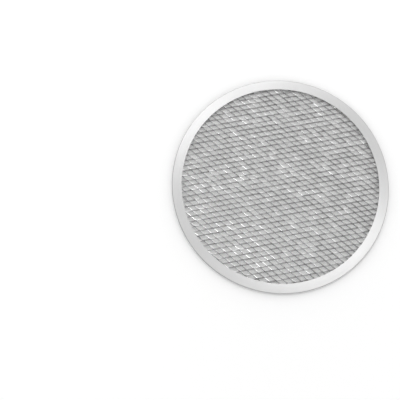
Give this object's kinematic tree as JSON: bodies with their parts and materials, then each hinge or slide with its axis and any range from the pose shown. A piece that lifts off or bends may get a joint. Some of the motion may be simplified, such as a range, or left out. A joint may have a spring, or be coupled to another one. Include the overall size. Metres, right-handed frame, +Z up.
{
  "type": "pizza screen",
  "caption": "Round flat baking screen: a disc of raised expanded metal mesh held in a folded flat rim.",
  "frame": {"origin": "centre of the screen, in the plane of the rim's lower face", "axes": "+Z up through the disc, +X along the long way of the mesh's diamonds"},
  "size_m": [0.2286, 0.2286, 0.0036],
  "materials": {
    "rim_metal": "bright rolled strip, grain running round the rim, duller at the outer fold",
    "mesh_metal": "dull mill finish on the rolled faces, bright slit edges"
  },
  "bodies": {
    "root": {"rim": "rim_metal", "mesh": "mesh_metal"}
  },
  "joints": []
}
